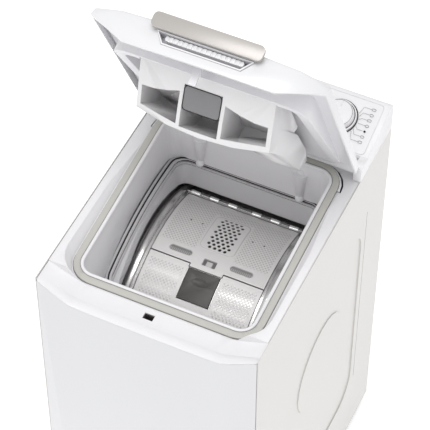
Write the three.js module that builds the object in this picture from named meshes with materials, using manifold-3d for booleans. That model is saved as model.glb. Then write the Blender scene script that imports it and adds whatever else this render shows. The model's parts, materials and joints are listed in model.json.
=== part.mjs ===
// Top-loading washing machine with its lid standing open, as a three.js scene graph.
// Millimetres. X points to the user's right, -Y to the user, +Z up. The floor is z = 0 and the
// origin is under the middle of the machine.
import * as THREE from 'three';
import { mergeVertices } from 'three/addons/utils/BufferGeometryUtils.js';
import { ConvexGeometry } from 'three/addons/geometries/ConvexGeometry.js';
import Module from 'manifold-3d';

const wasm = await Module();
wasm.setup();

// ---------------------------------------------------------------- driving dimensions

const WIDTH = 400;
const DEPTH = 556;
const SIDE_BOTTOM = 18;
const SIDE_TOP = 807;
const FRONT_BULGE = 7;
const SHEET = 1.5;
const WALL = 3;
const GAP = 0.4;
const REACH = DEPTH / 2 + FRONT_BULGE + GAP;

// front ledge of the top frame, lower in its middle than at its ends
const LEDGE = 776;
const LEDGE_HALF = 128;

// drum and tub turn about one axis along X
const AXIS_Y = 10;
const AXIS_Z = 455;
const DRUM_RADIUS = 227;
const DRUM_HALF = 129;
const DRUM_SHEET = 1.3;
const TUB_RADIUS = 241;
const TUB_HALF = 140;
const TUB_WALL = 4;
const ROUND = 48;

// drum door: angles from straight up, positive to the rear
const DOOR_HALF = 108;
const DOOR_REAR = 26;
const DOOR_SPLIT = -14.6;
const DOOR_FRONT = -38;
const DOOR_GAP = 1.2;

// loading well
const WELL_TOP = { half: 154, front: -213, rear: 127, corner: 24 };
const WELL_LOW = { half: 142, front: -160, rear: 131, corner: 26 };
const WELL_ARC = { y: 50, z: 294, radius: 437 };
const NECK = { half: 134, front: -152, rear: 130, corner: 20 };
const MOUTH = { half: 125, front: -146, rear: 119, corner: 16 };
const SEAL_WIDTH = 18;
const SEAL_HEIGHT = 3.5;
const BED_MID = 800;
const BED_SLOPE = 0.1;

// control panel
const PANEL_FRONT = 166;
const PANEL_FRONT_TOP = 836;
const PANEL_REAR_TOP = 871;
const PANEL_REAR = 266;

// lid, drawn shut about its hinge line and then turned open
const HINGE_Y = 150;
const HINGE_Z = 829.5;
const LID_OPEN = 65.2;
const LID_HALF = 199.7;
const LID_RIM = -21.2;
const LID_EDGE_TOP = -4.7;
const LID_CROWN = 3.2;
const LID_CORNER = -419;
const LID_FRONT = -441;
const LID_DROP = -52;
const LID_DROP_HALF = 128;

// controls
const KNOB = { x: 123, along: 58, base: 31, top: 26, height: 17 };
const BUTTONS = [-150, -105, -60, -15];

// ---------------------------------------------------------------- geometry helpers

const radians = THREE.MathUtils.degToRad;

function toSolid(geometry) {
  const bare = geometry.clone();
  bare.deleteAttribute('normal');
  bare.deleteAttribute('uv');
  const merged = mergeVertices(bare, 1e-4);
  const corner = merged.index.array;
  const place = merged.attributes.position;
  const kept = [];
  let volume = 0;
  const [a, b, c] = [new THREE.Vector3(), new THREE.Vector3(), new THREE.Vector3()];
  for (let i = 0; i < corner.length; i += 3) {
    const [p, q, r] = [corner[i], corner[i + 1], corner[i + 2]];
    if (p === q || q === r || r === p) continue;
    kept.push(p, q, r);
    a.fromBufferAttribute(place, p);
    b.fromBufferAttribute(place, q);
    c.fromBufferAttribute(place, r);
    volume += a.dot(b.cross(c));
  }
  if (volume < 0) kept.reverse();
  const vertProperties = new Float32Array(place.array);
  return new wasm.Manifold(new wasm.Mesh({ numProp: 3, vertProperties, triVerts: new Uint32Array(kept) }));
}

function toGeometry(solid) {
  const data = solid.getMesh();
  const geometry = new THREE.BufferGeometry();
  geometry.setAttribute('position', new THREE.BufferAttribute(data.vertProperties, 3));
  geometry.setIndex(new THREE.BufferAttribute(data.triVerts, 1));
  geometry.computeVertexNormals();
  return geometry;
}

const join = (...solids) => solids.reduce((all, one) => all.add(one));
const cut = (solid, ...tools) => tools.reduce((left, tool) => left.subtract(tool), solid);
const shifted = (solid, x, y, z) => solid.translate([x, y, z]);

function box(x0, x1, y0, y1, z0, z1) {
  const geometry = new THREE.BoxGeometry(x1 - x0, y1 - y0, z1 - z0);
  return toSolid(geometry.translate((x0 + x1) / 2, (y0 + y1) / 2, (z0 + z1) / 2));
}

// an outline pushed along one axis: X takes (y, z) points, Y takes (x, z), Z takes (x, y)
function prism(axis, points, from, to) {
  const shape = new THREE.Shape(points.map(([p, q]) => new THREE.Vector2(p, q)));
  const geometry = new THREE.ExtrudeGeometry(shape, { depth: to - from, bevelEnabled: false });
  if (axis === 'x') geometry.applyMatrix4(new THREE.Matrix4().set(0, 0, 1, from, 1, 0, 0, 0, 0, 1, 0, 0, 0, 0, 0, 1));
  if (axis === 'y') geometry.applyMatrix4(new THREE.Matrix4().set(1, 0, 0, 0, 0, 0, -1, to, 0, 1, 0, 0, 0, 0, 0, 1));
  if (axis === 'z') geometry.translate(0, 0, from);
  return toSolid(geometry);
}

function arc(cx, cy, radius, from, to, steps) {
  return Array.from({ length: steps + 1 }, (_, i) => {
    const angle = radians(from + (to - from) * i / steps);
    return [cx + radius * Math.cos(angle), cy + radius * Math.sin(angle)];
  });
}

function roundedOutline(x0, x1, y0, y1, radius, steps = 4) {
  return [
    ...arc(x1 - radius, y0 + radius, radius, -90, 0, steps),
    ...arc(x1 - radius, y1 - radius, radius, 0, 90, steps),
    ...arc(x0 + radius, y1 - radius, radius, 90, 180, steps),
    ...arc(x0 + radius, y0 + radius, radius, 180, 270, steps),
  ];
}

const roundedBlock = (axis, p0, p1, q0, q1, radius, from, to, steps = 2) =>
  prism(axis, roundedOutline(p0, p1, q0, q1, radius, steps), from, to);

// a straight rod, or a cone, along one axis through (p, q) of the other two in X, Y, Z order
function rod(axis, p, q, from, to, radius, steps = 16, endRadius = radius) {
  const geometry = new THREE.CylinderGeometry(endRadius, radius, to - from, steps);
  geometry.translate(0, (from + to) / 2, 0);
  if (axis === 'x') geometry.rotateZ(-Math.PI / 2).translate(0, p, q);
  if (axis === 'y') geometry.translate(p, 0, q);
  if (axis === 'z') geometry.rotateX(Math.PI / 2).translate(p, q, 0);
  return toSolid(geometry);
}

// a closed (radius, along) profile turned about the line through (y, z) along X
function turned(profile, y, z, steps = ROUND) {
  const points = profile.map(([radius, along]) => new THREE.Vector2(radius, along));
  if (profile.every(([radius]) => radius > 0)) points.push(points[0].clone());
  const geometry = new THREE.LatheGeometry(points, steps);
  return toSolid(geometry.rotateZ(-Math.PI / 2).translate(0, y, z));
}

const tubeX = (outer, inner, from, to, y, z, steps = ROUND) =>
  turned([[inner, from], [outer, from], [outer, to], [inner, to]], y, z, steps);

const hull = (points) => toSolid(new ConvexGeometry(points.map(([x, y, z]) => new THREE.Vector3(x, y, z))));
const mirrored = (points) => points.flatMap(([x, y, z]) => [[x, y, z], [-x, y, z]]);

// the point at an angle from straight up, positive to the rear, about the drum axis
function onDrum(angle, radius) {
  return [AXIS_Y + radius * Math.sin(radians(angle)), AXIS_Z + radius * Math.cos(radians(angle))];
}

function wedge(fromAngle, toAngle, radius, x0, x1) {
  const steps = Math.max(2, Math.ceil(Math.abs(toAngle - fromAngle) / 20));
  const rim = Array.from({ length: steps + 1 }, (_, i) =>
    onDrum(fromAngle + (toAngle - fromAngle) * i / steps, radius / Math.cos(radians(12))));
  return prism('x', [[AXIS_Y, AXIS_Z], ...rim], x0, x1);
}

// ---------------------------------------------------------------- scene helpers

const paint = (color, roughness, metalness = 0) => new THREE.MeshStandardMaterial({ color, roughness, metalness });
const WHITE_PAINT = [0xd9d9da, 0.35];
const SIDE_PAINT = [0xd6d4d1, 0.4];
const WHITE_PLASTIC = [0xe4e3e4, 0.38];
const LINER_PLASTIC = [0xdcdadd, 0.42];
const SEAL_RUBBER = [0xb4b4ab, 0.75];
const GREY_RUBBER = [0xc9c8cb, 0.7];
const DARK_PLASTIC = [0x4b4846, 0.45];
const HANDLE_GREY = [0xaca7a2, 0.35];
const STAINLESS = [0xbdbbba, 0.3, 0.9];
const ZINC = [0x9a9c9e, 0.45, 0.8];
const CAST = [0x77787a, 0.8, 0.2];
const BLACK = [0x222222, 0.7];
const BOARD = [0x2f5d3a, 0.6];
const CONCRETE = [0x8d8b86, 0.95];

function piece(parent, name, solid, look) {
  const mesh = new THREE.Mesh(toGeometry(solid), paint(...look));
  mesh.name = name;
  parent.add(mesh);
}

// ---------------------------------------------------------------- cabinet

const HALF = WIDTH / 2;
const FRONT = -DEPTH / 2;
const REAR = DEPTH / 2;
const INNER_HALF = HALF - SHEET - GAP;

// the bowed front line of the machine, seen from above, set back by an inset
function frontLine(inset, half = INNER_HALF) {
  const bow = FRONT_BULGE - 1;
  return [
    [-half, FRONT + inset], [-half + 45, FRONT - bow + inset], [-half / 3, FRONT - FRONT_BULGE + inset],
    [half / 3, FRONT - FRONT_BULGE + inset], [half - 45, FRONT - bow + inset], [half, FRONT + inset],
  ];
}

// everything above the dipped front ledge line, raised by a step
function ledgeValley(raise, y0, y1, half = HALF + 2) {
  const low = LEDGE + raise;
  const high = SIDE_TOP - 1 + raise;
  const outline = [
    [half, high + 80], [-half, high + 80], [-half, high], [-LEDGE_HALF - 8, low + 1.5],
    [-LEDGE_HALF + 14, low], [LEDGE_HALF - 14, low], [LEDGE_HALF + 8, low + 1.5], [half, high],
  ];
  return prism('y', outline, y0, y1);
}

function baseFrame() {
  const outer = roundedBlock('z', -INNER_HALF, INNER_HALF, FRONT + 14, REAR - SHEET - GAP, 8, SIDE_BOTTOM, 62);
  const well = roundedBlock('z', -172, 172, -250, 240, 14, SIDE_BOTTOM + 4, 70);
  const pumpRoom = box(PUMP.x - 28, PUMP.x + 28, -290, -240, PUMP.z - 28, 70);
  const vent = roundedBlock('z', -110, 110, -110, 110, 30, 0, 40);
  const bosses = FEET.map(([x, y]) => rod('z', x, y, SIDE_BOTTOM, 50, 14, 12));
  const holes = FEET.map(([x, y]) => rod('z', x, y, 0, 70, 5.6, 8));
  return cut(join(cut(outer, well, vent), ...bosses), pumpRoom, ...holes);
}

const FEET = [[-165, -225], [165, -225], [-165, 225], [165, 225]];

function foot(x, y) {
  const pad = rod('z', x, y, 0, 9, 22, 16, 20);
  const nut = rod('z', x, y, 8, 14, 11, 6);
  const stem = rod('z', x, y, 9, 56, 5, 8);
  return join(pad, nut, stem);
}

const PRESSING = { y0: -197, y1: 172, z0: 160, z1: 660, corner: 58, depth: 2.5 };
const PRESSED_RING = { y: AXIS_Y - 8, z: AXIS_Z + 5, radius: 96, depth: 2 };
const FOLD = { y: 188, z0: 186, z1: 676, depth: 1 };

// one side panel: pressed sheet with folded edges; side is -1 or 1
function sidePanel(side) {
  const at = (x0, x1) => (side > 0 ? [x0, x1] : [-x1, -x0]);
  const pressed = roundedOutline(PRESSING.y0, PRESSING.y1, PRESSING.z0, PRESSING.z1, PRESSING.corner, 6);
  const ring = arc(PRESSED_RING.y, PRESSED_RING.z, PRESSED_RING.radius, 0, 345, 23);
  const deep = HALF - PRESSING.depth;
  const raised = deep + PRESSED_RING.depth;
  let panel = box(...at(HALF - SHEET, HALF), FRONT + 1, REAR, SIDE_BOTTOM, SIDE_TOP);
  panel = join(panel, prism('x', pressed, ...at(deep - SHEET, HALF)));
  const pocket = prism('x', shrink(pressed, SHEET), ...at(deep, HALF + 5));
  const bead = prism('x', ring, ...at(deep - SHEET, raised));
  const beadBack = prism('x', arc(PRESSED_RING.y, PRESSED_RING.z, PRESSED_RING.radius - SHEET, 0, 345, 23),
    ...at(deep - SHEET - 4, raised - SHEET));
  panel = cut(join(cut(panel, pocket), bead), beadBack);
  const fold = box(...at(HALF - FOLD.depth, HALF + 3), FOLD.y - 1.2, FOLD.y + 1.2, FOLD.z0, FOLD.z1);
  const foldBack = box(...at(HALF - SHEET - 1, HALF - SHEET / 2), FOLD.y - 3, FOLD.y + 3, FOLD.z0 - 2, FOLD.z1 + 2);
  const flangeFront = box(...at(HALF - 16, HALF - SHEET / 2), FRONT + 14, FRONT + 14 + SHEET, 90, 740);
  const flangeRear = box(...at(HALF - 10, HALF - SHEET / 2), REAR - SHEET - GAP - 2, REAR - SHEET - GAP, 70, 790);
  return cut(join(panel, foldBack, flangeFront, flangeRear), fold);
}

// pulls an outline toward the middle of its own box by an inset
function shrink(points, inset) {
  const ys = points.map((p) => p[0]);
  const zs = points.map((p) => p[1]);
  const [cy, cz] = [(Math.min(...ys) + Math.max(...ys)) / 2, (Math.min(...zs) + Math.max(...zs)) / 2];
  const [hy, hz] = [Math.max(...ys) - cy, Math.max(...zs) - cz];
  return points.map(([y, z]) => [cy + (y - cy) * (hy - inset) / hy, cz + (z - cz) * (hz - inset) / hz]);
}

const KICK_TOP = 92;

// a bowed sheet between two heights with its ends folded back
function bowedSheet(z0, z1, half, fold) {
  const outer = frontLine(0, half);
  const inner = frontLine(SHEET, half - SHEET).reverse();
  const ends = [[half, FRONT + fold], [half - SHEET, FRONT + fold]];
  const backs = [[-half + SHEET, FRONT + fold], [-half, FRONT + fold]];
  return prism('z', [...outer, ...ends, ...inner, ...backs], z0, z1);
}

function frontPanel() {
  return cut(bowedSheet(KICK_TOP + 2, SIDE_TOP - 7, INNER_HALF - GAP, 12), ledgeValley(-2, FRONT - 42, -200));
}

const FILTER_DOOR = { x0: 40, x1: 140, z0: 30, z1: 84 };

function kickPanel() {
  const sheet = bowedSheet(22, KICK_TOP, INNER_HALF - GAP, 12);
  const { x0, x1, z0, z1 } = FILTER_DOOR;
  return cut(sheet, box(x0 - 1, x1 + 1, FRONT - 22, FRONT + 28, z0 - 1, z1 + 1));
}

function filterDoor() {
  const { x0, x1, z0, z1 } = FILTER_DOOR;
  const front = FRONT - FRONT_BULGE + 1;
  const plate = roundedBlock('y', x0 + GAP, x1 - GAP, z0 + GAP, z1 - GAP, 4, front, front + 2.5);
  const grip = roundedBlock('y', 78, 102, z1 - 14, z1 - 6, 3, front - 2, front + 1);
  return cut(plate, grip);
}

function rearPanel() {
  const y = REAR - SHEET;
  const sheet = box(-HALF + 12, HALF - 12, y, REAR, SIDE_BOTTOM + 6, SIDE_TOP - 6);
  const access = roundedBlock('y', -130, 130, 190, 640, 20, y - 5, REAR + 5);
  const rib = (z) => roundedBlock('y', -150, 150, z, z + 10, 4, REAR - SHEET / 2, REAR + 1.5);
  const holes = [rod('y', ...INLET, y - 5, REAR + 5, 15), rod('y', ...MAINS, y - 5, REAR + 5, 9.5),
    rod('y', ...DRAIN, y - 5, REAR + 5, 15)];
  return cut(join(sheet, rib(665), rib(96)), access, ...holes);
}

const INLET = [-140, 720];
const MAINS = [140, 130];
const DRAIN = [-150, 130];
const COVER_SCREWS = [[-138, 182], [138, 182], [-138, 648], [138, 648]];

function rearCover() {
  const plate = roundedBlock('y', -145, 145, 175, 655, 14, REAR + GAP, REAR + GAP + SHEET);
  const bow = roundedBlock('y', -118, 118, 205, 625, 26, REAR + GAP, REAR + GAP + 4);
  const hollow = roundedBlock('y', -116, 116, 207, 623, 24, REAR - 2, REAR + GAP + 4 - SHEET);
  const screws = COVER_SCREWS.map(([x, z]) => rod('y', x, z, REAR + SHEET, REAR + 4, 4.6, 12, 3.8));
  return cut(join(plate, bow, ...screws), hollow);
}

function inletValve() {
  const [x, z] = INLET;
  const spigot = rod('y', x, z, REAR - 30, REACH, 12.6, 16);
  const threads = [1.5, 4].map((i) => rod('y', x, z, REACH - i - 1, REACH - i, 13.4, 16));
  const body = roundedBlock('y', x - 24, x + 24, z - 20, z + 20, 5, REAR - 62, REAR - 20);
  const coil = rod('z', x, REAR - 44, z + 18, z + 46, 15, 16);
  const outlet = rod('z', x, REAR - 44, z - 40, z - 18, 8, 12);
  return cut(join(spigot, ...threads, body, coil, outlet), rod('y', x, z, REACH - 16, REACH + 2, 8.5, 16));
}

function wallGland(x, z, bore, inner) {
  const collar = rod('y', x, z, REAR + GAP, REAR + 3.6, bore + 3, 20, bore + 2);
  const neck = rod('y', x, z, REAR - 10, REAR + 1, bore - 0.5, 20);
  return cut(join(collar, neck), rod('y', x, z, REAR - 20, REAR + 10, inner, 16));
}

// ---------------------------------------------------------------- top frame and seal

const bedHeight = (y) => BED_MID + BED_SLOPE * y;
const onBed = (outline, lift) => outline.map(([x, y]) => [x, y, bedHeight(y) + lift]);
const ringOutline = ({ half, front, rear, corner }, grow, steps = 5) =>
  roundedOutline(-half - grow, half + grow, front - grow, rear + grow, corner + grow, steps);

// the funnel between the seal and the mouth over the drum, grown outward by a wall
function funnel(grow, lift) {
  const rise = 1 + lift / 110;
  const top = ringOutline(WELL_TOP, grow);
  const low = ringOutline(WELL_LOW, grow);
  const far = low.map(([x, y], i) => [x + (top[i][0] - x) * rise, y + (top[i][1] - y) * rise]);
  return hull([...far.map(([x, y]) => [x, y, bedHeight(y) + lift]), ...low.map(([x, y]) => [x, y, 640])]);
}

// the solid under the top surface: flat side rims, a valley holding the tilted seal bed, a dipped ledge
function frameMass(drop) {
  const rim = SIDE_TOP - 1 - drop;
  const plan = [...frontLine(2, INNER_HALF - GAP), [INNER_HALF - GAP, PANEL_FRONT + 90],
    [-INNER_HALF + GAP, PANEL_FRONT + 90]];
  const mass = prism('z', plan, 700, rim);
  const bed = ringOutline(WELL_TOP, SEAL_WIDTH + 3 + drop);
  const slope = ringOutline(WELL_TOP, SEAL_WIDTH + 22 + drop);
  const valley = hull([...onBed(bed, -drop), ...slope.map(([x, y]) => [x, y, 830 - drop])]);
  const raised = hull([...onBed(bed.filter(([, y]) => y > 20), -drop),
    ...slope.filter(([, y]) => y > 20).map(([x, y]) => [x * 0.985, y, 780 - drop])]);
  const front = ledgeValley(-drop, FRONT - 42, WELL_TOP.front - SEAL_WIDTH - 3 + drop);
  return join(cut(mass, valley, front), raised);
}

function topFrame() {
  const skin = cut(frameMass(0), frameMass(WALL));
  const back = PANEL_FRONT + 88;
  const ring = (inset, z0, z1) => {
    const half = INNER_HALF - SHEET - 2 * GAP - inset;
    return prism('z', [...frontLine(2 + inset, half), [half, back - inset], [-half, back - inset]], z0, z1);
  };
  const skirtOuter = ring(0, 748, SIDE_TOP - 2);
  const skirtInner = ring(WALL, 700, SIDE_TOP + 20);
  const skirt = cut(skirtOuter, skirtInner, ledgeValley(-1, FRONT - 42, -200));
  const shell = cut(funnel(WALL, 0), tubeCut(WELL_ARC.radius));
  const lip = cut(prism('z', [...frontLine(-0.4, INNER_HALF - 2), [INNER_HALF - 2, FRONT + 12],
    [-INNER_HALF + 2, FRONT + 12]], 760, 806), ledgeValley(0.6, FRONT - 42, -200), lowerLip());
  const posts = [-95, 95].map((x) => rod('z', x, WELL_LOW.rear + 1, 728, 800, 8, 14));
  const whole = cut(join(skin, skirt, shell), funnel(0, 40));
  const rearVoid = box(-150, 150, PANEL_FRONT + 10, PANEL_FRONT + 80, 700, 830);
  const hole = box(HOOK.x - 9, HOOK.x + 9, HOOK.y - 6, HOOK.y + 6, 740, 800);
  return cut(join(whole, lip, ...posts), hole, rearVoid, tubeCut(WELL_ARC.radius));
}

const HOOK = { x: -8, y: -249 };
const tubeCut = (radius) => rod('x', WELL_ARC.y, WELL_ARC.z, -260, 260, radius, 72);

// what is left of the front lip is its top 12 mm, following the ledge
function lowerLip() {
  const box3 = box(-HALF, HALF, FRONT - 52, -200, 700, 830);
  return cut(box3, ledgeValley(-1, FRONT - 62, -190));
}

function lidSeal() {
  const outer = ringOutline(WELL_TOP, SEAL_WIDTH, 6);
  const inner = ringOutline(WELL_TOP, 1, 6);
  const tilt = new THREE.Matrix4().set(1, 0, 0, 0, 0, 1, 0, 0, 0, BED_SLOPE, 1, BED_MID, 0, 0, 0, 1);
  const shape = new THREE.Shape(outer.map(([x, y]) => new THREE.Vector2(x, y)));
  shape.holes.push(new THREE.Path(inner.map(([x, y]) => new THREE.Vector2(x, y))));
  const geometry = new THREE.ExtrudeGeometry(shape, { depth: SEAL_HEIGHT - GAP, bevelEnabled: false });
  return toSolid(geometry.translate(0, 0, GAP).applyMatrix4(tilt));
}

function bellows() {
  const outer = prism('z', ringOutline(NECK, 14, 4), 600, 760);
  const inner = prism('z', ringOutline(NECK, 3, 4), 590, 770);
  const band = cut(tubeCut(WELL_ARC.radius - GAP), tubeCut(WELL_ARC.radius - 15 + GAP));
  return cut(outer, inner).intersect(band);
}

function doorLock() {
  const body = roundedBlock('z', HOOK.x - 34, HOOK.x + 34, HOOK.y - 15, HOOK.y + 15, 4, 722, LEDGE - WALL - 2.5);
  const throat = box(HOOK.x - 8, HOOK.x + 8, HOOK.y - 5.5, HOOK.y + 5.5, 744, 800);
  return cut(body, throat);
}

// ---------------------------------------------------------------- control panel

const SLOPE = Math.atan2(PANEL_REAR_TOP - PANEL_FRONT_TOP, PANEL_REAR - PANEL_FRONT);

// a group lying in the sloped control surface: x across, y up the slope, z out of the surface
function panelGroup() {
  const group = new THREE.Group();
  group.position.set(0, PANEL_FRONT, PANEL_FRONT_TOP);
  group.rotation.x = SLOPE;
  return group;
}

const SLOPE_LENGTH = Math.hypot(PANEL_REAR - PANEL_FRONT, PANEL_REAR_TOP - PANEL_FRONT_TOP);
const OVERLAY = { half: 190, y0: 5, y1: SLOPE_LENGTH - 3, thick: 1.2 };

// a tool made flat in panel coordinates and laid onto the slope
const onPanel = (solid) => solid.rotate([THREE.MathUtils.radToDeg(SLOPE), 0, 0])
  .translate([0, PANEL_FRONT, PANEL_FRONT_TOP]);

function panelProfile(inset) {
  const round = arc(PANEL_REAR, PANEL_REAR_TOP - 12, 12 - inset, 110, 0, 5);
  return [[PANEL_FRONT + inset, SIDE_TOP + GAP], [PANEL_FRONT + inset, PANEL_FRONT_TOP - 3 - inset],
    [PANEL_FRONT + 3 + inset, PANEL_FRONT_TOP + 1 - inset], ...round, [REAR - inset, SIDE_TOP + GAP]];
}

function controlHousing() {
  const body = prism('x', panelProfile(0), -HALF, HALF);
  const hollow = prism('x', panelProfile(WALL).map(([y, z]) => [y, z < SIDE_TOP + 2 ? 780 : z]), -HALF + WALL, HALF - WALL);
  const recess = onPanel(roundedBlock('z', -OVERLAY.half, OVERLAY.half, OVERLAY.y0, OVERLAY.y1, 6, -OVERLAY.thick, 20));
  const bores = [onPanel(rod('z', KNOB.x, KNOB.along, -20, 20, 8, 16)),
    ...BUTTONS.map((x) => onPanel(roundedBlock('z', x - 14, x + 14, 30, 46, 4, -20, 20)))];
  const cheek = (x0, x1) => join(
    rod('x', HINGE_Y, HINGE_Z, x0, x1, 12, 24),
    prism('x', [[HINGE_Y - 12, SIDE_TOP + GAP], [PANEL_FRONT + 5, SIDE_TOP + GAP], [PANEL_FRONT + 5, HINGE_Z + 7],
      [HINGE_Y, HINGE_Z + 11], [HINGE_Y - 12, HINGE_Z]], x0, x1));
  const pins = [[167, 188], [-188, -167]].map((span) => rod('x', HINGE_Y, HINGE_Z, ...span, 3.8, 12));
  const housing = join(cut(body, hollow), cheek(186, HALF), cheek(-HALF, -186), ...pins);
  return cut(housing, recess, ...bores);
}

function controlOverlay() {
  const { half, y0, y1, thick } = OVERLAY;
  const sheet = roundedBlock('z', -half + GAP, half - GAP, y0 + GAP, y1 - GAP, 6, -thick + GAP, 0.3);
  const holes = [rod('z', KNOB.x, KNOB.along, -9, 9, 8, 16),
    ...BUTTONS.map((x) => roundedBlock('z', x - 13, x + 13, 31, 45, 4, -9, 9))];
  return cut(sheet, ...holes);
}

function knob() {
  const lower = rod('z', KNOB.x, KNOB.along, 1, 6, KNOB.base, 32);
  const upper = rod('z', KNOB.x, KNOB.along, 5, KNOB.height, KNOB.top + 1.5, 32, KNOB.top);
  const shaft = rod('z', KNOB.x, KNOB.along, -14, 2, 6, 12);
  const mark = box(KNOB.x - 0.9, KNOB.x + 0.9, KNOB.along + 12, KNOB.along + 24, KNOB.height - 0.8, KNOB.height + 3);
  return cut(join(lower, upper, shaft), mark);
}

function pushButton(x) {
  const cap = roundedBlock('z', x - 12, x + 12, 32, 44, 4, -8, 2.2, 4);
  return join(cap, rod('z', x, 38, -12, -7, 4, 12));
}

const controlBoard = () => onPanel(join(box(-175, 165, 20, 84, -20, -18),
  box(KNOB.x - 13, KNOB.x + 13, KNOB.along - 13, KNOB.along + 13, -19, -15.5), box(-60, 20, 56, 80, -32, -19)));

// ---------------------------------------------------------------- tub

const TUB_OUT = TUB_RADIUS + TUB_WALL;
const tubDisc = (radius, half, steps = ROUND) => rod('x', AXIS_Y, AXIS_Z, -half, half, radius, steps);

// an upright passage that narrows from one rounded outline down to another
function tapered(top, topHeight, low, lowHeight) {
  const upper = prism('z', ringOutline(top, 0, 4), topHeight - 0.5, 780);
  const lower = prism('z', ringOutline(low, 0, 4), AXIS_Z, lowHeight + 0.5);
  const between = hull([...ringOutline(top, 0, 4).map(([x, y]) => [x, y, topHeight]),
    ...ringOutline(low, 0, 4).map(([x, y]) => [x, y, lowHeight])]);
  return join(upper, between, lower);
}

function tubShell() {
  const neckOuter = prism('z', ringOutline(NECK, TUB_WALL, 4), AXIS_Z, 760);
  const flange = prism('z', ringOutline(NECK, 14, 4), AXIS_Z, 760)
    .intersect(cut(tubeCut(WELL_ARC.radius - 15), tubeCut(WELL_ARC.radius - 18)));
  const neckTop = neckOuter.intersect(tubeCut(WELL_ARC.radius - 15));
  const sump = roundedBlock('z', -70, 70, AXIS_Y - 60, AXIS_Y + 60, 12, AXIS_Z - TUB_OUT - 22, AXIS_Z - 200);
  const rims = [-1, 1].map((side) => tubeX(TUB_OUT + 6, TUB_OUT - 1, ...(side > 0
    ? [TUB_HALF - 6, TUB_HALF] : [-TUB_HALF, -TUB_HALF + 6]), AXIS_Y, AXIS_Z));
  const outside = join(tubDisc(TUB_OUT, TUB_HALF), neckTop, flange, sump, ...rims);
  const sumpHollow = roundedBlock('z', -66, 66, AXIS_Y - 56, AXIS_Y + 56, 10, AXIS_Z - TUB_OUT - 18, AXIS_Z - 200);
  const mouth = tapered(NECK, 712, MOUTH, AXIS_Z + TUB_RADIUS - 20);
  const drain = rod('y', 40, AXIS_Z - TUB_OUT - 6, AXIS_Y - 80, AXIS_Y, 11, 16);
  const spigot = rod('y', 40, AXIS_Z - TUB_OUT - 6, AXIS_Y - 78, AXIS_Y - 58, 14, 16);
  return cut(join(outside, spigot), tubDisc(TUB_RADIUS, TUB_HALF + 5), mouth, sumpHollow, drain,
    box(-30, 30, AXIS_Y + 50, AXIS_Y + 80, AXIS_Z - TUB_OUT - 14, AXIS_Z - TUB_OUT - 4));
}

// side is -1 or 1; ribbed dished cover with the bearing seat in its middle
function tubCover(side) {
  const x = (along) => side * (TUB_HALF + GAP + along);
  const ring = [[10.5, x(-4)], [60, x(-2)], [66, x(0)], [TUB_OUT + 6, x(0)], [TUB_OUT + 6, x(5)], [70, x(5)],
    [62, x(14)], [10.5, x(14)]];
  const ribs = Array.from({ length: 8 }, (_, i) => {
    const [y, z] = [Math.cos(radians(45 * i + 20)), Math.sin(radians(45 * i + 20))];
    const bar = toSolid(new THREE.BoxGeometry(7, 160, 4).rotateX(radians(45 * i + 20))
      .translate(x(6.5), AXIS_Y + 140 * y, AXIS_Z + 140 * z));
    return bar;
  });
  return join(turned(ring, AXIS_Y, AXIS_Z, 28), ...ribs);
}

function counterweight() {
  const body = tubeX(TUB_OUT + 26, TUB_OUT + 1.5, -110, 110, AXIS_Y, AXIS_Z, 48);
  const sector = wedge(-112, -64, 330, -120, 120);
  const inside = box(-200, 200, FRONT + 22, 300, 0, 800);
  return body.intersect(sector).intersect(inside);
}

const HEATER_Z = AXIS_Z - TUB_OUT - 9;

function heater() {
  const path = new THREE.CatmullRomCurve3([[-18, 84], [-18, 20], [-18, -30], [-9, -44], [9, -44], [18, -30],
    [18, 20], [18, 84]].map(([x, y]) => new THREE.Vector3(x, AXIS_Y + y, HEATER_Z)));
  const ring = new THREE.Shape(arc(0, 0, 4, 0, 300, 5).map(([p, q]) => new THREE.Vector2(p, q)));
  const element = toSolid(new THREE.ExtrudeGeometry(ring, { steps: 20, extrudePath: path, bevelEnabled: false }));
  return join(element, roundedBlock('y', -28, 28, HEATER_Z - 3.5, HEATER_Z + 3.5, 3, AXIS_Y + 61, AXIS_Y + 69));
}

const PUMP = { x: 90, y: -215, z: 57 };

function drainPump() {
  const { x, y, z } = PUMP;
  const chamber = rod('y', x, z, y - 34, y + 20, 25, 24);
  const motor = rod('y', x, z, y + 19, y + 70, 20, 20);
  const inlet = rod('z', x - 12, y + 8, z + 10, z + 50, 11, 16);
  return cut(join(chamber, motor, inlet), rod('y', x, z, y - 40, y + 14, 21, 24),
    rod('z', x - 12, y + 8, z + 4, z + 60, 8.5, 16));
}

function filterCap() {
  const { x, y, z } = PUMP;
  const disc = rod('y', x, z, y - 42, y - 35, 23, 24);
  const plug = rod('y', x, z, y - 36, y - 8, 19.5, 20);
  const grip = roundedBlock('y', x - 18, x + 18, z - 4, z + 4, 3, y - 51, y - 41);
  return join(disc, plug, grip);
}

// ---------------------------------------------------------------- drive and suspension

const BELT_X = 172;
const PULLEY_RADIUS = 128;
const MOTOR = { y: 120, z: 128, radius: 58, pulley: 11 };

function motorBody() {
  const can = rod('x', MOTOR.y, MOTOR.z, -40, 118, MOTOR.radius, 24);
  const endBell = rod('x', MOTOR.y, MOTOR.z, 117, 132, MOTOR.radius - 14, 20);
  const lug = [60, 180, 300].map((angle) => rod('x', MOTOR.y + (MOTOR.radius + 4) * Math.cos(radians(angle)),
    MOTOR.z + (MOTOR.radius + 4) * Math.sin(radians(angle)), -20, 60, 8, 10));
  return cut(join(can, endBell, ...lug), rod('x', MOTOR.y, MOTOR.z, 90, 140, 7, 16));
}

const motorPulley = () => join(rod('x', MOTOR.y, MOTOR.z, BELT_X - 8, BELT_X + 8, MOTOR.pulley, 20),
  rod('x', MOTOR.y, MOTOR.z, 100, BELT_X, 6, 16), rod('x', MOTOR.y, MOTOR.z, BELT_X + 7, BELT_X + 9, 14, 20),
  rod('x', MOTOR.y, MOTOR.z, BELT_X - 9, BELT_X - 7, 14, 20));

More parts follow.
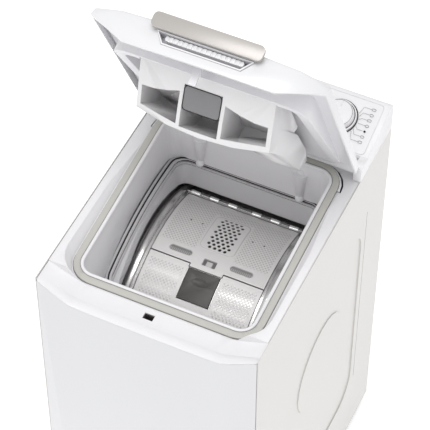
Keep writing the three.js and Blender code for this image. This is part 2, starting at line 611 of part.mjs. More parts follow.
// two wheels' rims wrapped by one belt line, grown outward
function beltLine(grow, x0, x1) {
  const wheel = (y, z, radius, steps) => arc(y, z, radius + grow, 0, 360 - 360 / steps, steps - 1);
  const points = [...wheel(AXIS_Y, AXIS_Z, PULLEY_RADIUS, 32), ...wheel(MOTOR.y, MOTOR.z, MOTOR.pulley, 16)];
  return hull(points.flatMap(([y, z]) => [[x0, y, z], [x1, y, z]]));
}

const belt = () => cut(beltLine(4.4, BELT_X - 5, BELT_X + 5), beltLine(1.4, BELT_X - 9, BELT_X + 9));

function drumPulley() {
  const rim = tubeX(PULLEY_RADIUS, PULLEY_RADIUS - 8, BELT_X - 8, BELT_X + 8, AXIS_Y, AXIS_Z, 32);
  const hub = tubeX(20, 10.5, BELT_X - 8, BELT_X + 10, AXIS_Y, AXIS_Z, 16);
  const spokes = Array.from({ length: 5 }, (_, i) => toSolid(new THREE.BoxGeometry(8, 107, 22)
    .translate(0, 70, 0).rotateX(radians(72 * i)).translate(BELT_X, AXIS_Y, AXIS_Z)));
  return join(rim, hub, ...spokes);
}

// a coil of wire hanging the tub from the cabinet; side is -1 or 1
function suspensionSpring(side) {
  const turns = 5;
  const steps = turns * 7;
  const points = Array.from({ length: steps + 1 }, (_, i) => {
    const angle = 2 * Math.PI * turns * i / steps;
    return new THREE.Vector3(side * SPRING.x + 9 * Math.cos(angle), SPRING.y + 9 * Math.sin(angle),
      SPRING.z0 + (SPRING.z1 - SPRING.z0) * i / steps);
  });
  const section = new THREE.Shape(arc(0, 0, 1.6, 0, 270, 3).map(([p, q]) => new THREE.Vector2(p, q)));
  const path = new THREE.CatmullRomCurve3(points);
  return toSolid(new THREE.ExtrudeGeometry(section, { steps, extrudePath: path, bevelEnabled: false }));
}

const SPRING = { x: 166, y: -190, z0: 600, z1: 690 };

function damper(side) {
  const [x, y] = [side * 150, AXIS_Y - 130];
  const tube = rod('z', x, y, 66, 150, 13, 16);
  const piston = rod('z', x, y, 149, 205, 6, 12);
  const eye = rod('x', y, 212, x - 7, x + 7, 10, 16);
  return cut(join(tube, piston, eye), rod('x', y, 212, x - 9, x + 9, 4.5, 12));
}

// ---------------------------------------------------------------- drum

function drumShell() {
  const bead = (x) => [[DRUM_RADIUS, x - 7], [DRUM_RADIUS + 4.5, x - 5], [DRUM_RADIUS + 6, x],
    [DRUM_RADIUS + 4.5, x + 5], [DRUM_RADIUS, x + 7]];
  const inner = DRUM_RADIUS - DRUM_SHEET;
  const outline = [[inner, -DRUM_HALF], [DRUM_RADIUS, -DRUM_HALF], ...bead(-119.5), ...bead(119.5),
    [DRUM_RADIUS, DRUM_HALF], [inner, DRUM_HALF]];
  const opening = wedge(DOOR_FRONT - 1.25, DOOR_REAR + 1.25, 250, -DOOR_HALF, DOOR_HALF);
  return cut(turned(outline, AXIS_Y, AXIS_Z), opening);
}

function drumEnd(side) {
  const x = (along) => side * (DRUM_HALF + along);
  const out = DRUM_RADIUS - DRUM_SHEET - 1;
  const end = side > 0 ? BELT_X + 12 : -TUB_HALF - 18;
  return turned([[0, x(-14)], [60, x(-14)], [90, x(-4)], [out - 12, x(-4)], [out - 10, x(-1)], [out, x(-1)],
    [out, x(1)], [out - 13, x(1)], [out - 15, x(-2)], [88, x(-2)], [58, x(-12)], [24, x(-10)], [10, x(0)],
    [10, end], [0, end]], AXIS_Y, AXIS_Z, 28);
}

// a hollow ridge inside the drum at an angle from straight up
function lifter(angle) {
  const [r0, r1] = [DRUM_RADIUS - DRUM_SHEET - GAP - 1.2, DRUM_RADIUS - 50];
  const outline = [onDrum(angle - 9, r0), onDrum(angle - 3, r1), onDrum(angle + 3, r1), onDrum(angle + 9, r0)];
  return prism('x', outline, -104, 104);
}

// a curved piece of drum sheet between two angles
function drumSheet(from, to, half, outer, thick) {
  return tubeX(outer, outer - thick, -half, half, AXIS_Y, AXIS_Z).intersect(wedge(from, to, 250, -half, half));
}

const HINGE_RADIUS = DRUM_RADIUS + 2.3;
const KNUCKLES = [-95, -59, -23, 23, 59, 95];

function rearFlap() {
  const skin = drumSheet(DOOR_SPLIT + 0.25, DOOR_REAR - 1.1, DOOR_HALF - DOOR_GAP, DRUM_RADIUS, 1.6);
  const tongue = drumSheet(DOOR_SPLIT - 1.3, DOOR_SPLIT + 0.5, 31, DRUM_RADIUS, 1.6);
  const [hy, hz] = onDrum(DOOR_REAR, HINGE_RADIUS);
  const knuckles = KNUCKLES.map((x) => tubeX(4.2, 2.2, x - 9, x + 9, hy, hz, 12));
  const tabs = KNUCKLES.map((x) => drumSheet(DOOR_REAR - 2, DOOR_REAR - 0.85, 1000, DRUM_RADIUS + 1, 3)
    .intersect(box(x - 9, x + 9, -300, 300, 0, 900)));
  const [py, pz] = onDrum(5.5, DRUM_RADIUS - 6);
  const panel = toSolid(new THREE.ExtrudeGeometry(new THREE.Shape(roundedOutline(-31, 31, -40, 40, 9, 3)
    .map(([p, q]) => new THREE.Vector2(p, q))), { depth: 12, bevelEnabled: false })
    .rotateX(radians(-5.5)).translate(0, py, pz));
  const plate = drumSheet(-8, 18, 40, DRUM_RADIUS + 0.9, 2.2).intersect(panel);
  const slots = [-1, 1].map((side) => roundedBlock('z', side * 57.5 - 21, side * 57.5 + 21, -33, -23, 4.9, 640, 720, 3));
  const window = roundedBlock('z', -12, 12, -42, -29, 2, 640, 720, 2);
  return cut(join(skin, tongue, plate, ...knuckles, ...tabs), ...perforations(), ...slots, window,
    rod('x', hy, hz, -120, 120, 2.2, 12));
}

// the lozenge of drain holes in the raised plate of the rear flap
function perforations() {
  const holes = [];
  for (let row = 0; row < 9; row += 1) {
    const count = row % 2 ? 4 : 5;
    for (let column = 0; column < count; column += 1) {
      const x = (column - (count - 1) / 2) * 10.5;
      holes.push(rod('z', x, AXIS_Y + 21 + (row - 4) * 7.2, 640, 720, 2.5, 6));
    }
  }
  return holes;
}

function frontFlap() {
  const skin = drumSheet(DOOR_FRONT + 1.1, DOOR_SPLIT - 0.25, DOOR_HALF - DOOR_GAP, DRUM_RADIUS, 1.6);
  const tongueRoom = wedge(DOOR_SPLIT - 1.6, DOOR_SPLIT + 2, 250, -31.8, 31.8);
  const buttonRoom = wedge(LATCH.front - 0.3, LATCH.rear + 0.3, 250, -LATCH.half - 1, LATCH.half + 1);
  const [hy, hz] = onDrum(DOOR_FRONT, HINGE_RADIUS);
  const spans = [-90, -45, 0, 45, 90];
  const knuckles = spans.map((x) => tubeX(4.2, 2.2, x - 9, x + 9, hy, hz, 12));
  const tabs = spans.map((x) => drumSheet(DOOR_FRONT + 0.85, DOOR_FRONT + 2, 1000, DRUM_RADIUS + 1, 3)
    .intersect(box(x - 9, x + 9, -300, 300, 0, 900)));
  return cut(join(cut(skin, tongueRoom, buttonRoom), ...knuckles, ...tabs), rod('x', hy, hz, -120, 120, 2.2, 12));
}

const LATCH = { half: 29.5, front: -30.8, rear: -16.6 };

function latchButton() {
  const cap = drumSheet(LATCH.front, LATCH.rear, LATCH.half, DRUM_RADIUS + 2, 7);
  const scoop = toSolid(new THREE.SphereGeometry(26, 20, 12).scale(1, 0.5, 0.45)
    .rotateX(radians(-LATCH.rear)).translate(0, ...onDrum(LATCH.rear - 5, DRUM_RADIUS + 11)));
  return cut(cap, scoop);
}

function hingeRod(angle) {
  return rod('x', ...onDrum(angle, HINGE_RADIUS), -DOOR_HALF - 4, DOOR_HALF + 4, 1.7, 10);
}

// ---------------------------------------------------------------- lid, drawn shut about its hinge line

const lidBody = (grow) => {
  const top = (x) => LID_CROWN - (LID_CROWN - LID_EDGE_TOP) * (x / LID_HALF) ** 2 - grow;
  const half = LID_HALF - grow;
  const front = LID_FRONT + grow;
  const low = (z) => z - (grow ? 60 : 0);
  const side = [[half, -22, low(LID_RIM)], [half, LID_CORNER + grow, low(LID_RIM)],
    [half, LID_CORNER + 8 + grow, top(half) - 3], [half, -22, top(half) - 3],
    [half - 3, LID_CORNER + 11 + grow, top(half)], [half - 3, -22, top(half)]];
  const middle = [[LID_DROP_HALF, front + 2, low(LID_DROP)], [70, front, low(LID_DROP)], [0, front - 1, low(LID_DROP)]];
  const brow = [150, 75, 0].flatMap((x) => [[x, front + 9 - (x ? 0 : 1), top(x) - 5],
    [x, front + 12 - (x ? 0 : 1), top(x) - 1.5], [x, front + 17, top(x)], [x, -22, top(x)]]);
  return hull(mirrored([...side, ...middle, ...brow]));
};

const BARREL = 12;

function lidShell() {
  const rear = arc(0, 0, BARREL, -150, 14, 8);
  const barrel = prism('x', [[-30, -7.5], ...rear, [-30, LID_CROWN]], -185, 185);
  const rearCut = box(-LID_HALF - 2, LID_HALF + 2, -40, -19, -60, -9.5);
  const cheekRoom = [1, -1].map((side) => rod('x', 0, 0, ...(side > 0 ? [185, 210] : [-210, -185]), 20, 32));
  const hollow = cut(lidBody(WALL), box(-230, 230, -32, 60, -130, 40));
  const pinHoles = rod('x', 0, 0, -190, 190, 4.2, 16);
  const middle = rod('x', 0, 0, -165, 165, 4.6, 4);
  const shell = join(cut(lidBody(0), hollow, rearCut), barrel);
  return cut(shell, ...cheekRoom, cut(pinHoles, middle), handleRoom(0));
}

// the opening in the fascia behind the handle, widest at its top
function handleRoom(shrinkBy) {
  const s = shrinkBy;
  const outline = [[-82 + s, -16 - s], [-67 + s, -37 + s], [67 - s, -37 + s], [82 - s, -16 - s]];
  return prism('y', outline, -460, -415 + s);
}

function handlePlate() {
  const face = roundedBlock('y', -93, 93, -16, 9.6, 8, -449, -441.6, 3);
  const hook = box(-86, 86, -443, -428, LID_CROWN + 1.2, 9.4);
  const back = cut(prism('x', [[-444, -16], [-444, LID_CROWN + 4], [-428, LID_CROWN + 4], [-432, -2], [-436, -16]],
    -84, 84), lidBody(-1.2));
  return join(cut(face, box(-90, 90, -443.4, -430, -60, 2)), hook, cut(back, box(-90, 90, -441.6, -400, -60, 3)));
}

function handleCup() {
  const lipped = [[-81, -16.6], [-66.4, -36.4], [66.4, -36.4], [81, -16.6]];
  const inner = [[-78.6, -18], [-65, -34.2], [65, -34.2], [78.6, -18]];
  return cut(prism('y', lipped, -440, -412), prism('y', inner, -445, -414.5));
}

function grip() {
  const bar = roundedBlock('y', -66, 66, -27.6, -19.4, 3, -433, -415, 3);
  const teeth = Array.from({ length: 16 }, (_, i) => box(-61 + i * 8, -58 + i * 8, -434, -431.6, -28, -19));
  return cut(bar, ...teeth);
}

// the sealing plane and the lid's inside, seen in the lid's own frame
const lidY = (y) => y - HINGE_Y;
const lidZ = (z) => z - HINGE_Z;
const LINER_TOP = -9.8;
const LINER_PLATE = 2.2;

function lidLiner() {
  const rimOutline = ringOutline(WELL_TOP, SEAL_WIDTH - 5, 5);
  const face = rimOutline.map(([x, y]) => [x, lidY(y), lidZ(bedHeight(y) + SEAL_HEIGHT + 0.8)]);
  const back = rimOutline.map(([x, y]) => [x, lidY(y), LINER_TOP]);
  const inset = ringOutline(WELL_TOP, -6, 5);
  const hollow = hull([...inset.map(([x, y]) => [x, lidY(y) + 3, LINER_TOP - LINER_PLATE]),
    ...inset.map(([x, y]) => [x, lidY(y), -80])]);
  const flange = prism('z', [[-194, -38], [-194, LID_CORNER + 18], [-138, LID_FRONT + 14], [138, LID_FRONT + 14],
    [194, LID_CORNER + 18], [194, -38]], LINER_TOP - LINER_PLATE, LINER_TOP);
  const lock = [-55, 55].map((x) => box(x - 5, x + 5, -300, -120, LINER_TOP - 7, LINER_TOP - 1));
  const trayRoom = box(-TRAY.half - 1, TRAY.half + 1, TRAY.top - GAP, -300, -90, LINER_TOP - LINER_PLATE);
  const cupRoom = box(-90, 90, -470, -408, -60, 20);
  return cut(join(cut(hull([...face, ...back]), trayRoom, hollow), flange, ...lock), cupRoom);
}

function latchHook() {
  const [x, y] = [HOOK.x, lidY(HOOK.y)];
  const top = lidZ(bedHeight(-225) + SEAL_HEIGHT + 1.5);
  const stem = box(x - 6, x + 6, y - 2, y + 2.5, top - 24, LINER_TOP - LINER_PLATE - GAP);
  const beak = prism('x', [[y + 2, top - 24], [y + 4.5, top - 20], [y + 2, top - 15]], x - 6, x + 6);
  return join(stem, beak);
}

// ---------------------------------------------------------------- dispenser under the lid

const TRAY = { half: 116, top: -370, mouth: -288, tail: -45, lip: -118, lipEnd: -102, roof: -20 };

// each pocket: left, right, ceiling, floor at the left, floor at the right
const POCKETS = [[-109, -42, -58, -95, -107], [-36, 30, -48, -110, -110], [36, 109, -58, -107, -95]];

function dispenserTray() {
  const { half, top, mouth, tail, lip, lipEnd, roof } = TRAY;
  const front = hull(mirrored([[half, top, roof], [half, top, -36], [half, mouth, -54], [half, mouth + 2, lipEnd],
    [half / 2, mouth + 1, (lip + lipEnd) / 2 - 4], [0, mouth, lip], [half, -190, roof], [half - 4, -190, -66],
    [0, -190, -74]]));
  const ducts = [-1, 1].map((side) => hull([[half, mouth + 2, -60], [half - 2, mouth + 3, lipEnd + 2],
    [half - 26, mouth + 3, lipEnd - 6], [half + 2, -180, -30], [half, -180, -72], [half - 30, -180, -78],
    [half, -90, -24], [half - 2, -80, -58], [half - 26, -80, -62], [half - 2, tail, -30], [half - 6, tail, -50],
    [half - 16, tail, -50], [half - 20, tail, roof]].map(([x, y, z]) => [side * x, y, z])));
  const middle = box(-half + 12, half - 12, -200, tail - 8, -38, roof);
  const pocket = ([x0, x1, roofZ, low0, low1]) => hull([[x0, roofZ], [x1, roofZ], [x0, low0], [x1, low1]]
    .flatMap(([x, z]) => [[x, mouth - 30, z < roofZ ? z - 12 : z], [x, mouth + 86, z < roofZ ? z + 36 : z + 8]]));
  const ceiling = LINER_TOP - LINER_PLATE - GAP;
  const lockRoom = [-55, 55].map((x) => box(x - 6, x + 6, -420, 0, LINER_TOP - 9, ceiling + 20));
  const mass = join(front, ...ducts, middle);
  return cut(mass, ...lockRoom, ...POCKETS.map(pocket));
}

function softenerCap() {
  const [x0, x1] = POCKETS[1];
  const plate = roundedBlock('y', x0 + 1, x1 - 1, -92, -50, 5, TRAY.mouth + 3, TRAY.mouth + 6, 3);
  return join(plate, rod('y', (x0 + x1) / 2 + 8, -76, TRAY.mouth + 2, TRAY.mouth + 4, 11, 20));
}

// ---------------------------------------------------------------- assembly

const machine = new THREE.Group();

piece(machine, 'base_frame', baseFrame(), ZINC);
piece(machine, 'left_side_panel', sidePanel(-1), SIDE_PAINT);
piece(machine, 'right_side_panel', sidePanel(1), SIDE_PAINT);
piece(machine, 'front_panel', frontPanel(), WHITE_PAINT);
piece(machine, 'kick_panel', kickPanel(), WHITE_PAINT);
piece(machine, 'filter_door', filterDoor(), WHITE_PLASTIC);
piece(machine, 'rear_panel', rearPanel(), ZINC);
piece(machine, 'rear_cover', rearCover(), ZINC);
piece(machine, 'inlet_valve', inletValve(), WHITE_PLASTIC);
piece(machine, 'drain_gland', wallGland(...DRAIN, 15, 11), BLACK);
piece(machine, 'mains_gland', wallGland(...MAINS, 9.5, 4.5), BLACK);
FEET.forEach(([x, y], i) => piece(machine, `levelling_foot_${i + 1}`, foot(x, y), BLACK));

piece(machine, 'top_frame', topFrame(), WHITE_PLASTIC);
piece(machine, 'lid_seal', lidSeal(), SEAL_RUBBER);
piece(machine, 'door_lock', doorLock(), BLACK);
piece(machine, 'control_housing', controlHousing(), WHITE_PLASTIC);
piece(machine, 'control_board', controlBoard(), BOARD);

const controls = panelGroup();
piece(controls, 'control_overlay', controlOverlay(), WHITE_PLASTIC);
piece(controls, 'selector_knob', knob(), WHITE_PLASTIC);
BUTTONS.forEach((x, i) => piece(controls, `push_button_${i + 1}`, pushButton(x), WHITE_PLASTIC));
machine.add(controls);

piece(machine, 'tub_shell', tubShell(), LINER_PLASTIC);
piece(machine, 'tub_cover_left', tubCover(-1), LINER_PLASTIC);
piece(machine, 'tub_cover_right', tubCover(1), LINER_PLASTIC);
piece(machine, 'bellows', bellows(), GREY_RUBBER);
piece(machine, 'counterweight', counterweight(), CONCRETE);
piece(machine, 'heater', heater(), STAINLESS);
piece(machine, 'drain_pump', drainPump(), LINER_PLASTIC);
piece(machine, 'filter_cap', filterCap(), WHITE_PLASTIC);
piece(machine, 'spring_left', suspensionSpring(-1), ZINC);
piece(machine, 'spring_right', suspensionSpring(1), ZINC);
piece(machine, 'damper_left', damper(-1), BLACK);
piece(machine, 'damper_right', damper(1), BLACK);
piece(machine, 'motor', motorBody(), CAST);
piece(machine, 'motor_pulley', motorPulley(), ZINC);
piece(machine, 'belt', belt(), BLACK);

piece(machine, 'drum_shell', drumShell(), STAINLESS);
piece(machine, 'drum_end_left', drumEnd(-1), STAINLESS);
piece(machine, 'drum_end_right', drumEnd(1), STAINLESS);
piece(machine, 'lifter_1', lifter(125), LINER_PLASTIC);
piece(machine, 'lifter_2', lifter(-125), LINER_PLASTIC);
piece(machine, 'drum_pulley', drumPulley(), CAST);
piece(machine, 'rear_hinge_rod', hingeRod(DOOR_REAR), STAINLESS);
piece(machine, 'front_hinge_rod', hingeRod(DOOR_FRONT), STAINLESS);
piece(machine, 'rear_flap', rearFlap(), STAINLESS);
piece(machine, 'front_flap', frontFlap(), STAINLESS);
piece(machine, 'latch_button', latchButton(), DARK_PLASTIC);

const lid = new THREE.Group();
lid.position.set(0, HINGE_Y, HINGE_Z);
lid.rotation.x = -radians(LID_OPEN);
piece(lid, 'lid_shell', lidShell(), WHITE_PLASTIC);
piece(lid, 'lid_liner', lidLiner(), LINER_PLASTIC);
piece(lid, 'handle_plate', handlePlate(), HANDLE_GREY);
piece(lid, 'handle_cup', handleCup(), DARK_PLASTIC);
piece(lid, 'handle_grip', grip(), WHITE_PLASTIC);
piece(lid, 'latch_hook', latchHook(), LINER_PLASTIC);
piece(lid, 'dispenser_tray', dispenserTray(), LINER_PLASTIC);
piece(lid, 'softener_cap', softenerCap(), DARK_PLASTIC);
machine.add(lid);

export default machine;
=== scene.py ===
# %% [markdown]
# A slim top-loading washing machine, standing open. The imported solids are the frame: they give
# every place and size, and each cell below dresses or replaces one group of real pieces.

# %% load the frame
import json
import math
import bpy
import bmesh
from mathutils import Matrix, Vector


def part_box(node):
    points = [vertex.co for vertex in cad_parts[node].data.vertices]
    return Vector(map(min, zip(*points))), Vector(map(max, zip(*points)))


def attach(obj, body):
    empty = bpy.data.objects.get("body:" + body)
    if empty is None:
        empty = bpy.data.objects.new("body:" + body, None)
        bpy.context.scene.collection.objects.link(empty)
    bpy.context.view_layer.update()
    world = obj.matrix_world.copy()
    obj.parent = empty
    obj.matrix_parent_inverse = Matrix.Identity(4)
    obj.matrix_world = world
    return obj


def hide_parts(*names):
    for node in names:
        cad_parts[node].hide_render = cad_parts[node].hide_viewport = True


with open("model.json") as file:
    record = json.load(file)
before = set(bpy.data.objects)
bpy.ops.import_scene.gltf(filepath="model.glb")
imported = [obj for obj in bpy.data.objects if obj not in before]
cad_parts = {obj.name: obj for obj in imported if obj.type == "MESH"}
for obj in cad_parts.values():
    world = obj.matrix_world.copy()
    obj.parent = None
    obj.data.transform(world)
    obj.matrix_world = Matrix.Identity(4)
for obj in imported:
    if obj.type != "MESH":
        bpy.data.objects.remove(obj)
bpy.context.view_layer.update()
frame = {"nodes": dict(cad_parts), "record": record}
nodes = frame["nodes"]

# %% [markdown]
# The camera comes first. It stands to the right of the front, high up, and looks down into the
# open well with a long lens, so the upright edges of the cabinet draw together only a little.

# %% camera
eye = bpy.data.objects.new("eye", bpy.data.cameras.new("eye"))
bpy.context.scene.collection.objects.link(eye)
eye.data.sensor_width = 36
eye.data.lens = 177.18
eye.data.clip_start, eye.data.clip_end = 0.1, 30
right = Vector((0.904129, 0.427258, 0.001221))
back = Vector((0.273506, -0.580961, 0.766602)).normalized()
up = back.cross(right).normalized()
turn = Matrix((right, up, back)).transposed().to_4x4()
eye.matrix_world = Matrix.Translation((0.97437, -2.08359, 3.51507)) @ turn
bpy.context.scene.camera = eye
print("camera", tuple(round(v, 3) for v in eye.location))

# %% [markdown]
# A pale floor and soft panels of light make a bright studio. Large lamps give broad, gentle
# reflections in the steel, and the bright surroundings fill the shadows. The plain display curve
# is chosen because a filmic one would grey the white plastic.

# %% studio
world = bpy.data.worlds.new("studio")
bpy.context.scene.world = world
world.use_nodes = True
sky = world.node_tree.nodes["Background"]
sky.inputs["Color"].default_value = (1, 1, 1, 1)
sky.inputs["Strength"].default_value = 0.72
bpy.context.scene.view_settings.view_transform = "Standard"


def lamp(name, place, size, power, aim=(0, 0, 0.6)):
    light = bpy.data.lights.new(name, "AREA")
    light.shape, light.size, light.size_y, light.energy = "RECTANGLE", *size, power
    holder = bpy.data.objects.new(name, light)
    bpy.context.scene.collection.objects.link(holder)
    holder.location = place
    holder.rotation_euler = (Vector(aim) - Vector(place)).to_track_quat("-Z", "Y").to_euler()


lamp("key", (-1.4, -2.4, 3.4), (1.8, 1.4), 12)
lamp("fill", (2.6, -1.2, 1.8), (1.6, 1.6), 4)
lamp("top", (0.1, -0.55, 3.3), (1.3, 1.1), 24, (0, 0, 0.6))

floor_mesh = bpy.data.meshes.new("floor")
side = 9
floor_mesh.from_pydata([(-side, -side, 0), (side, -side, 0), (side, side, 0), (-side, side, 0)], [], [(0, 1, 2, 3)])
floor = bpy.data.objects.new("floor", floor_mesh)
bpy.context.scene.collection.objects.link(floor)

# %% [markdown]
# Shader arithmetic reads best as plain Python, so one small class wraps a node's output and turns
# each operator into a Math node. A second helper makes any other node from its settings.

# %% shader helpers
class Flow:
    def __init__(self, tree, socket):
        self.tree, self.socket = tree, socket

    def math(self, kind, other=None, flip=False):
        first, second = (other, self) if flip else (self, other)
        made = make(self.tree, "ShaderNodeMath", {"operation": kind}, {0: first, 1: second})
        return Flow(self.tree, made.outputs[0])

    def __add__(self, other): return self.math("ADD", other)
    def __radd__(self, other): return self.math("ADD", other, True)
    def __sub__(self, other): return self.math("SUBTRACT", other)
    def __rsub__(self, other): return self.math("SUBTRACT", other, True)
    def __mul__(self, other): return self.math("MULTIPLY", other)
    def __rmul__(self, other): return self.math("MULTIPLY", other, True)


def make(tree, kind, settings=None, values=None):
    node = tree.nodes.new(kind)
    for key, value in (settings or {}).items():
        setattr(node, key, value)
    for key, value in (values or {}).items():
        if isinstance(value, Flow):
            tree.links.new(value.socket, node.inputs[key])
        elif value is not None:
            node.inputs[key].default_value = value
    return node


def noise(tree, where, scale, detail=3.0, rough=0.5):
    made = make(tree, "ShaderNodeTexNoise", {}, {"Vector": where, "Scale": scale, "Detail": detail, "Roughness": rough})
    return Flow(tree, made.outputs["Fac"])


def stretched(tree, where, factors):
    made = make(tree, "ShaderNodeVectorMath", {"operation": "MULTIPLY"}, {0: where, 1: factors})
    return Flow(tree, made.outputs[0])


def blend_colours(tree, mask, low, high):
    made = make(tree, "ShaderNodeMix", {"data_type": "RGBA"}, {0: mask, 6: (*low, 1), 7: (*high, 1)})
    return Flow(tree, made.outputs[2])


def linear(rgb):
    return tuple(((v / 255 + 0.055) / 1.055) ** 2.4 if v > 10 else v / 255 / 12.92 for v in rgb)


# %% [markdown]
# Every finish is one recipe with different numbers: a colour that drifts slightly, a roughness that
# is a little uneven as on handled surfaces, and a fine relief. Enamel has orange peel, moulded
# plastic a spark-eroded grain, and rolled steel long scratches in one direction.

# %% finishes
def finish(name, rgb, rough, metal=0.0, grain=400.0, depth=0.02, drift=0.04, stretch=(1, 1, 1), coat=0.0, spread=0.08):
    material = bpy.data.materials.new(name)
    material.use_nodes = True
    tree = material.node_tree
    shader = tree.nodes["Principled BSDF"]
    place = Flow(tree, make(tree, "ShaderNodeTexCoord").outputs["Object"])
    broad = noise(tree, place, 5.0, 4.0, 0.6)
    fine = noise(tree, stretched(tree, place, stretch), grain, 2.0)
    colour = linear(rgb)
    darker = tuple(v * (1 - drift) for v in colour)
    lighter = tuple(min(1.0, v * (1 + drift)) for v in colour)
    mask = broad * 0.6 + fine * 0.4
    tree.links.new(blend_colours(tree, mask, darker, lighter).socket, shader.inputs["Base Color"])
    uneven = rough + (broad - 0.5) * spread + (fine - 0.5) * spread
    tree.links.new(uneven.socket, shader.inputs["Roughness"])
    shader.inputs["Metallic"].default_value = metal
    shader.inputs["Coat Weight"].default_value = coat
    shader.inputs["Coat Roughness"].default_value = 0.12
    bump = make(tree, "ShaderNodeBump", {}, {"Strength": 0.5, "Distance": depth / 1000, "Height": fine})
    tree.links.new(bump.outputs["Normal"], shader.inputs["Normal"])
    return material


LONG = (0.02, 1, 1)
enamel = finish("enamel", (218, 218, 220), 0.32, grain=260, depth=0.05, drift=0.012, coat=0.25)
side_enamel = finish("side_enamel", (214, 212, 209), 0.4, grain=240, depth=0.05, drift=0.014, coat=0.15)
white_plastic = finish("white_plastic", (234, 233, 235), 0.36, grain=900, depth=0.03, drift=0.012)
lid_plastic = finish("lid_plastic", (224, 224, 226), 0.3, grain=1100, depth=0.015, drift=0.01, coat=0.2)
liner_plastic = finish("liner_plastic", (226, 225, 228), 0.42, grain=1200, depth=0.04, drift=0.018)
tray_plastic = finish("tray_plastic", (226, 225, 226), 0.38, grain=1200, depth=0.03, drift=0.02)
seal_rubber = finish("seal_rubber", (192, 191, 185), 0.7, grain=700, depth=0.06, drift=0.05)
bellows_rubber = finish("bellows_rubber", (196, 195, 198), 0.62, grain=500, depth=0.08, drift=0.04)
tub_plastic = finish("tub_plastic", (205, 204, 206), 0.5, grain=700, depth=0.06, drift=0.03)
drum_steel = finish("drum_steel", (202, 200, 199), 0.3, 0.92, 320, 0.02, 0.08, LONG)
bright_steel = finish("bright_steel", (214, 213, 212), 0.2, 0.95, 500, 0.01, 0.05, LONG)
dark_plastic = finish("dark_plastic", (74, 71, 69), 0.42, grain=900, depth=0.04, drift=0.08)
cap_plastic = finish("cap_plastic", (112, 112, 114), 0.4, grain=900, depth=0.04, drift=0.06)
handle_silver = finish("handle_silver", (178, 174, 170), 0.34, 0.25, 900, 0.02, 0.03)
black_rubber = finish("black_rubber", (38, 38, 40), 0.75, grain=500, depth=0.1, drift=0.15)
zinc = finish("zinc", (168, 170, 172), 0.42, 0.85, 60, 0.02, 0.12)
cast_metal = finish("cast_metal", (122, 123, 125), 0.7, 0.6, 180, 0.2, 0.15)
board_green = finish("board_green", (52, 98, 62), 0.45, grain=300, depth=0.04, drift=0.2)
concrete = finish("concrete", (146, 143, 136), 0.9, grain=120, depth=0.8, drift=0.2)
floor_white = finish("floor_white", (246, 246, 247), 0.9, grain=20, depth=0.0, drift=0.004)
floor_shader = floor_white.node_tree.nodes["Principled BSDF"]
floor_shader.inputs["Emission Color"].default_value = (1, 1, 1, 1)
floor_shader.inputs["Emission Strength"].default_value = 0.45
floor.data.materials.append(floor_white)
print("finishes", len(bpy.data.materials))

# %% [markdown]
# The pieces whose solid already has the true shape keep it. They only get their finish, smooth
# shading below a crease angle, and, where listed in EDGE, a small rolled edge, because no moulded or folded edge is
# sharp.

# %% dress the frame
DRESS = {
    enamel: "front_panel kick_panel",
    side_enamel: "left_side_panel right_side_panel",
    white_plastic: "top_frame control_housing control_overlay filter_door filter_cap inlet_valve "
                   "selector_knob push_button_1 push_button_2 push_button_3 push_button_4",
    lid_plastic: "lid_shell handle_grip",
    liner_plastic: "lid_liner latch_hook lifter_1 lifter_2 drain_pump handle_cup",
    tray_plastic: "dispenser_tray",
    seal_rubber: "lid_seal",
    bellows_rubber: "bellows",
    tub_plastic: "tub_shell tub_cover_left tub_cover_right",
    drum_steel: "drum_end_left drum_end_right rear_flap front_flap",
    bright_steel: "drum_shell rear_hinge_rod front_hinge_rod heater",
    dark_plastic: "latch_button door_lock",
    cap_plastic: "softener_cap",
    handle_silver: "handle_plate",
    black_rubber: "drain_gland mains_gland levelling_foot_1 levelling_foot_2 levelling_foot_3 "
                  "levelling_foot_4 damper_left damper_right belt",
    zinc: "base_frame rear_panel rear_cover spring_left spring_right motor_pulley",
    cast_metal: "motor drum_pulley",
    board_green: "control_board",
    concrete: "counterweight",
}
EDGE = {"lid_shell": 2.2, "top_frame": 1.2, "control_housing": 2.0, "handle_plate": 1.6, "lid_liner": 1.6,
        "dispenser_tray": 3.0, "front_panel": 0.5, "lid_seal": 1.2, "selector_knob": 0.8, "latch_button": 1.2,
        "handle_grip": 0.5, "bellows": 1.0, "tub_shell": 0.6, "control_overlay": 0.3, "softener_cap": 0.8}

WELD_REACH = 0.00002
CREASE = math.radians(34)


def dress(node, material):
    piece = nodes[node]
    piece.data.materials.clear()
    piece.data.materials.append(material)
    piece.data.shade_smooth()
    weld = piece.modifiers.new("weld", "WELD")
    weld.merge_threshold = WELD_REACH
    if node in EDGE:
        rolled = piece.modifiers.new("rolled_edge", "BEVEL")
        rolled.width = EDGE[node] / 1000
        rolled.segments = 3
        rolled.limit_method = "ANGLE"
        rolled.angle_limit = CREASE
        rolled.harden_normals = True
    crease = piece.modifiers.new("crease", "EDGE_SPLIT")
    crease.split_angle = CREASE


for material, names in DRESS.items():
    for node in names.split():
        dress(node, material)
print("dressed", sum(len(names.split()) for names in DRESS.values()))

# %% [markdown]
# The two drum flaps are pressed stainless sheet, curved like the drum. Pressing gives them fields of
# small dimples, a raised plate with a lozenge of drain holes, two finger slots and four rivets. A
# fine grid bent round the drum axis can carry all of it: each vertex asks how deep the die went.

# %% sheet helpers
drum_low, drum_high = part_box("drum_end_right")
AXIS = Vector((0, (drum_low.y + drum_high.y) / 2, (drum_low.z + drum_high.z) / 2))
RADIUS = 0.227
# name of the vertex attribute that holds each sheet's painted shade for its sunk places
SHADE_LAYER = "press"
print("drum axis", tuple(round(v, 4) for v in AXIS))


